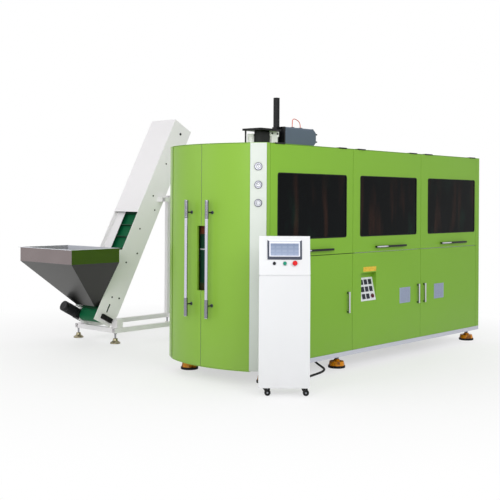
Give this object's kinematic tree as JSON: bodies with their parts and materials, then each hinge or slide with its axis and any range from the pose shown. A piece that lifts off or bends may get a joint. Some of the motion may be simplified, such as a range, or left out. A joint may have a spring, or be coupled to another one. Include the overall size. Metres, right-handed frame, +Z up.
{
  "type": "stretch blow moulding machine",
  "caption": "Green guarded cabinet that stretch-blows plastic bottles from preforms, with glazed lift-up doors, curved end doors, a caster console and a hopper-fed cleated belt elevator",
  "frame": {"origin": "the centre of the sole of the machine's front left foot, on the floor", "axes": "X along the machine's front to the operator's right, Y away from the operator, Z up"},
  "size_m": [3.966, 3.9789, 2.51],
  "materials": {
    "bar_chrome": "hard chromed bar",
    "belt_green": "matt green belt",
    "black_paint": "satin black paint",
    "black_plastic": "matt black",
    "cable_orange": "orange jacket",
    "caster_black": "black plastic fork",
    "caster_tread": "black tread",
    "conduit_black": "black flexible conduit",
    "foot_orange": "gloss orange paint",
    "foot_rubber": "matt black rubber",
    "frame_paint": "satin powder coat",
    "gauge_chrome": "polished rim with a white dial",
    "gearbox_iron": "painted black casting",
    "green_paint": "semi-gloss green enamel",
    "green_plastic": "glossy green",
    "machined_steel": "ground and lightly oiled",
    "meter_black": "black moulded bezels",
    "meter_white": "matt white sheet",
    "motor_paint": "blue grey paint",
    "mould_aluminium": "machined",
    "red_plastic": "glossy red",
    "screen_plastic": "dark bezel round a pale screen",
    "smoked_pane": "smoked clear sheet",
    "stainless": "brushed stainless sheet",
    "white_paint": "smooth satin powder coat"
  },
  "bodies": {
    "root": {"plinth_frame": "white_paint", "foot_pads": "foot_rubber", "foot_caps": "foot_orange", "upright_frame": "frame_paint", "corner_trims": "white_paint", "roof_panel": "green_paint", "roof_hinges": "black_paint", "rear_panel": "green_paint", "right_end_panel": "green_paint", "gauges": "gauge_chrome", "work_bed": "machined_steel", "tie_bars": "bar_chrome", "oven_banks": "mould_aluminium", "stretch_frame": "black_paint", "stretch_gearbox": "gearbox_iron", "stretch_bracket": "white_paint", "actuator_column": "black_paint", "servo_motor": "motor_paint", "console_cabinet": "white_paint", "console_head": "white_paint", "hmi_panel": "screen_plastic", "elevator_casing": "white_paint", "elevator_hood": "white_paint", "elevator_belt": "belt_green", "gear_motor": "gearbox_iron", "elevator_base": "white_paint", "hopper": "stainless", "preform_chute": "stainless", "console_conduit": "conduit_black", "servo_cable": "cable_orange"},
    "upper_guard_1": {"upper_door_1": "green_paint", "window_pane_1": "smoked_pane"},
    "lower_leaf_1": {"lower_door_1": "green_paint"},
    "upper_guard_2": {"upper_door_2": "green_paint", "window_pane_2": "smoked_pane"},
    "lower_leaf_2": {"lower_door_2": "green_paint", "meter_panel": "meter_white", "panel_meters": "meter_black"},
    "upper_guard_3": {"upper_door_3": "green_paint", "window_pane_3": "smoked_pane"},
    "lower_leaf_3": {"lower_door_3": "green_paint"},
    "meter_stop": {"red_button": "red_plastic"},
    "end_leaf_near": {"end_door_near": "green_paint"},
    "end_leaf_far": {"end_door_far": "green_paint"},
    "carriage": {"stretch_carriage": "mould_aluminium"},
    "mould_left": {"mould_half_left": "mould_aluminium"},
    "mould_right": {"mould_half_right": "mould_aluminium"},
    "selector": {"selector_switch": "black_plastic"},
    "start": {"start_button": "green_plastic"},
    "stop": {"stop_button": "red_plastic"},
    "swivel_1": {"caster_fork_1": "caster_black"},
    "wheel_1": {"caster_wheel_1": "caster_tread"},
    "swivel_2": {"caster_fork_2": "caster_black"},
    "wheel_2": {"caster_wheel_2": "caster_tread"},
    "swivel_3": {"caster_fork_3": "caster_black"},
    "wheel_3": {"caster_wheel_3": "caster_tread"},
    "swivel_4": {"caster_fork_4": "caster_black"},
    "wheel_4": {"caster_wheel_4": "caster_tread"},
    "tail_drum": {"tail_roller": "machined_steel"},
    "head_drum": {"head_roller": "machined_steel"}
  },
  "joints": [
    {"name": "upper_guard_1_lift", "type": "hinge", "parent": "root", "child": "upper_guard_1", "pos_m": [0.4915, -0.124, 2.031], "axis": [-1, 0, 0], "range_deg": [0, 85]},
    {"name": "lower_leaf_1_swing", "type": "hinge", "parent": "root", "child": "lower_leaf_1", "pos_m": [-0.085, -0.112, 0.612], "axis": [0, 0, -1], "range_deg": [0, 70]},
    {"name": "upper_guard_2_lift", "type": "hinge", "parent": "root", "child": "upper_guard_2", "pos_m": [1.665, -0.124, 2.031], "axis": [-1, 0, 0], "range_deg": [0, 85]},
    {"name": "lower_leaf_2_swing", "type": "hinge", "parent": "root", "child": "lower_leaf_2", "pos_m": [1.088, -0.112, 0.612], "axis": [0, 0, -1], "range_deg": [0, 90]},
    {"name": "upper_guard_3_lift", "type": "hinge", "parent": "root", "child": "upper_guard_3", "pos_m": [2.8235, -0.124, 2.031], "axis": [-1, 0, 0], "range_deg": [0, 85]},
    {"name": "lower_leaf_3_swing", "type": "hinge", "parent": "root", "child": "lower_leaf_3", "pos_m": [3.385, -0.112, 0.612], "axis": [0, 0, 1], "range_deg": [0, 110]},
    {"name": "meter_stop_press", "type": "slide", "parent": "lower_leaf_2", "child": "meter_stop", "axis": [0, 0.9756, -0.2197], "range_m": [0, 0.005], "stiffness_N_per_m": 300},
    {"name": "end_leaf_near_swing", "type": "hinge", "parent": "root", "child": "end_leaf_near", "pos_m": [-0.21159, 0.005, 1.076], "axis": [0, 0, 1], "range_deg": [0, 84]},
    {"name": "end_leaf_far_swing", "type": "hinge", "parent": "root", "child": "end_leaf_far", "pos_m": [-0.21159, 0.925, 1.076], "axis": [0, 0, -1], "range_deg": [0, 84]},
    {"name": "stretch_travel", "type": "slide", "parent": "root", "child": "carriage", "axis": [0, 0, -1], "range_m": [0, 0.25]},
    {"name": "mould_left_close", "type": "slide", "parent": "root", "child": "mould_left", "axis": [1, 0, 0], "range_m": [0, 0.0598]},
    {"name": "mould_right_close", "type": "slide", "parent": "root", "child": "mould_right", "axis": [-1, 0, 0], "range_m": [0, 0.0598]},
    {"name": "selector_turn", "type": "hinge", "parent": "root", "child": "selector", "pos_m": [-0.37555, -0.41324, 1.05], "axis": [-0.7112, -0.6453, 0.2789], "range_deg": [-45, 45]},
    {"name": "start_press", "type": "slide", "parent": "root", "child": "start", "axis": [0.7112, 0.6453, -0.2789], "range_m": [0, 0.0035], "stiffness_N_per_m": 300},
    {"name": "stop_press", "type": "slide", "parent": "root", "child": "stop", "axis": [0.7112, 0.6453, -0.2789], "range_m": [0, 0.005]},
    {"name": "caster_1_swivel", "type": "hinge", "parent": "root", "child": "swivel_1", "pos_m": [-0.40908, -0.34779, 0.062], "axis": [0, 0, 1], "continuous": true},
    {"name": "caster_1_roll", "type": "hinge", "parent": "swivel_1", "child": "wheel_1", "pos_m": [-0.39429, -0.36408, 0.025], "axis": [0.7406, 0.672, 0], "continuous": true},
    {"name": "caster_2_swivel", "type": "hinge", "parent": "root", "child": "swivel_2", "pos_m": [-0.20412, -0.57366, 0.062], "axis": [0, 0, 1], "continuous": true},
    {"name": "caster_2_roll", "type": "hinge", "parent": "swivel_2", "child": "wheel_2", "pos_m": [-0.18934, -0.58996, 0.025], "axis": [0.7406, 0.672, 0], "continuous": true},
    {"name": "caster_3_swivel", "type": "hinge", "parent": "root", "child": "swivel_3", "pos_m": [-0.29058, -0.24027, 0.062], "axis": [0, 0, 1], "continuous": true},
    {"name": "caster_3_roll", "type": "hinge", "parent": "swivel_3", "child": "wheel_3", "pos_m": [-0.2758, -0.25657, 0.025], "axis": [0.7406, 0.672, 0], "continuous": true},
    {"name": "caster_4_swivel", "type": "hinge", "parent": "root", "child": "swivel_4", "pos_m": [-0.08563, -0.46615, 0.062], "axis": [0, 0, 1], "continuous": true},
    {"name": "caster_4_roll", "type": "hinge", "parent": "swivel_4", "child": "wheel_4", "pos_m": [-0.07085, -0.48244, 0.025], "axis": [0.7406, 0.672, 0], "continuous": true},
    {"name": "tail_drum_turn", "type": "hinge", "parent": "root", "child": "tail_drum", "pos_m": [0.437, 2.88, 0.265], "axis": [0, 1, 0], "continuous": true},
    {"name": "head_drum_turn", "type": "hinge", "parent": "root", "child": "head_drum", "pos_m": [1.52617, 2.88, 2.31344], "axis": [0, 1, 0], "continuous": true}
  ],
  "couplings": [
    {"joint": "mould_right_close", "follows": "mould_left_close", "ratio": 1},
    {"joint": "head_drum_turn", "follows": "tail_drum_turn", "ratio": 1}
  ]
}
